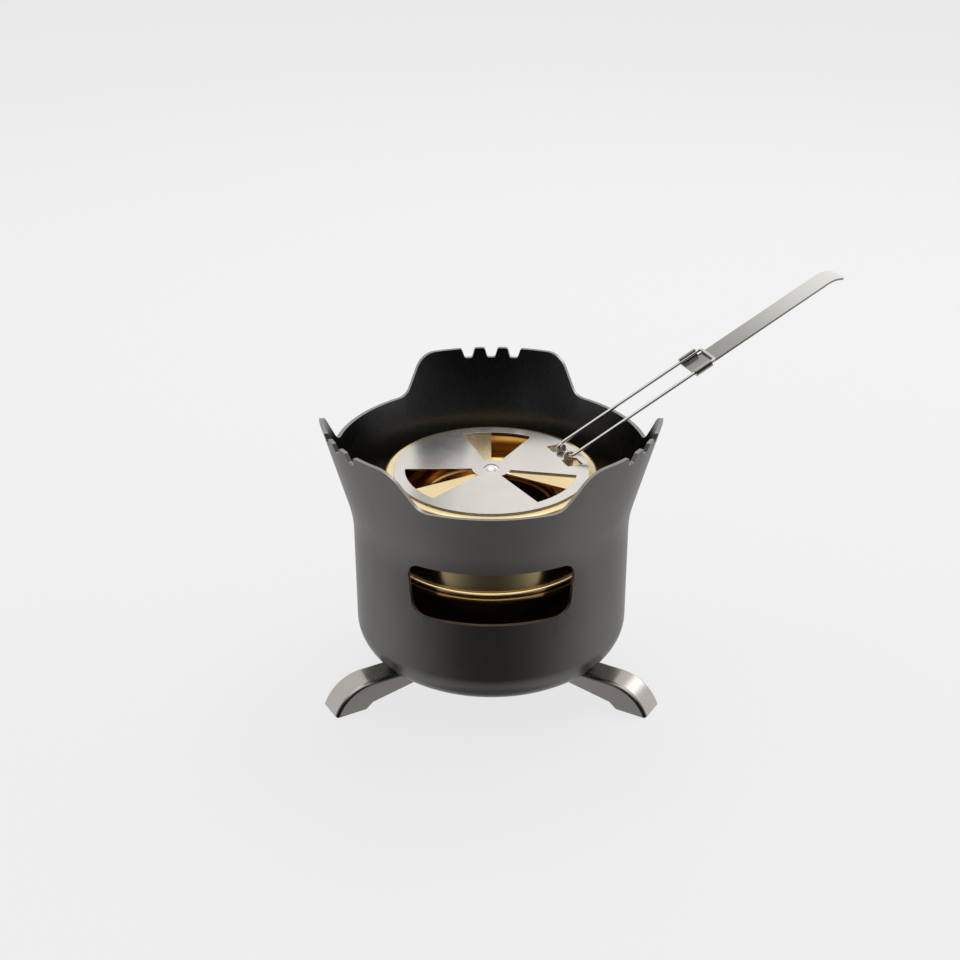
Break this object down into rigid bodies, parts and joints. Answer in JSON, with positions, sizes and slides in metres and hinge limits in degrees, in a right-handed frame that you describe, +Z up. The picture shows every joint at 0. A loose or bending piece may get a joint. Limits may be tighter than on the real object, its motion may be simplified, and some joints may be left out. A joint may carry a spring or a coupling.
{
  "type": "alcohol stove",
  "caption": "Alcohol stove: flared wind shield with pot tabs and folding feet, brass spirit burner, simmer cap with turning damper and telescoping wire handle.",
  "frame": {"origin": "on the stove's axis, in the plane that the feet stand on", "axes": "+Z up along the burner's axis, +Y towards the rear foot, the damper's handle leaning out towards +X and a little +Y"},
  "size_m": [0.1829, 0.1178, 0.1297],
  "materials": {
    "anodised_shell": "matt hard-anodised, dark grey",
    "brass_sheet": "polished and lightly brushed",
    "cap_brass": "satin, pale gold",
    "steel_sheet": "satin stainless sheet",
    "steel_wire": "drawn stainless wire",
    "rivet_steel": "polished stainless",
    "wick_felt": "off-white felt"
  },
  "bodies": {
    "shield": {"windshield_shell": "anodised_shell", "foot_rivet_rear": "rivet_steel", "foot_rivet_left": "rivet_steel", "foot_rivet_right": "rivet_steel", "foot_washer_rear": "steel_sheet", "foot_washer_left": "steel_sheet", "foot_washer_right": "steel_sheet"},
    "foot_rear": {"foot_rear": "steel_sheet"},
    "foot_left": {"foot_left": "steel_sheet"},
    "foot_right": {"foot_right": "steel_sheet"},
    "burner": {"burner_cup": "brass_sheet", "burner_neck": "brass_sheet", "burner_sleeve": "brass_sheet", "burner_wick": "wick_felt"},
    "cap": {"simmer_cap": "cap_brass", "centre_rivet": "rivet_steel", "spring_washer": "steel_sheet", "rivet_washer": "steel_sheet"},
    "damper": {"damper_disc": "steel_sheet"},
    "handle": {"handle_wire": "steel_wire"},
    "blade": {"handle_blade": "steel_sheet"}
  },
  "joints": [
    {"name": "foot_rear_swing", "type": "hinge", "parent": "shield", "child": "foot_rear", "pos_m": [0, 0.028, 0.0096], "axis": [0, 0, 1], "range_deg": [0, 130]},
    {"name": "foot_left_swing", "type": "hinge", "parent": "shield", "child": "foot_left", "pos_m": [-0.02425, -0.014, 0.0096], "axis": [0, 0, 1], "range_deg": [0, 130]},
    {"name": "foot_right_swing", "type": "hinge", "parent": "shield", "child": "foot_right", "pos_m": [0.02425, -0.014, 0.0096], "axis": [0, 0, 1], "range_deg": [0, 130]},
    {"name": "burner_lift", "type": "slide", "parent": "shield", "child": "burner", "axis": [0, 0, 1], "range_m": [0, 0.1]},
    {"name": "cap_lift", "type": "slide", "parent": "burner", "child": "cap", "axis": [0, 0, 1], "range_m": [0, 0.06]},
    {"name": "damper_turn", "type": "hinge", "parent": "cap", "child": "damper", "pos_m": [0, 0, 0.0773], "axis": [0, 0, 1], "range_deg": [-13, 27]},
    {"name": "handle_fold", "type": "hinge", "parent": "damper", "child": "handle", "pos_m": [0.02552, 0.01052, 0.0792], "axis": [0.3811, -0.9245, 0], "range_deg": [0, 135.5]},
    {"name": "blade_slide", "type": "slide", "parent": "handle", "child": "blade", "axis": [0.8248, 0.34, 0.4518], "range_m": [-0.046, 0]}
  ]
}
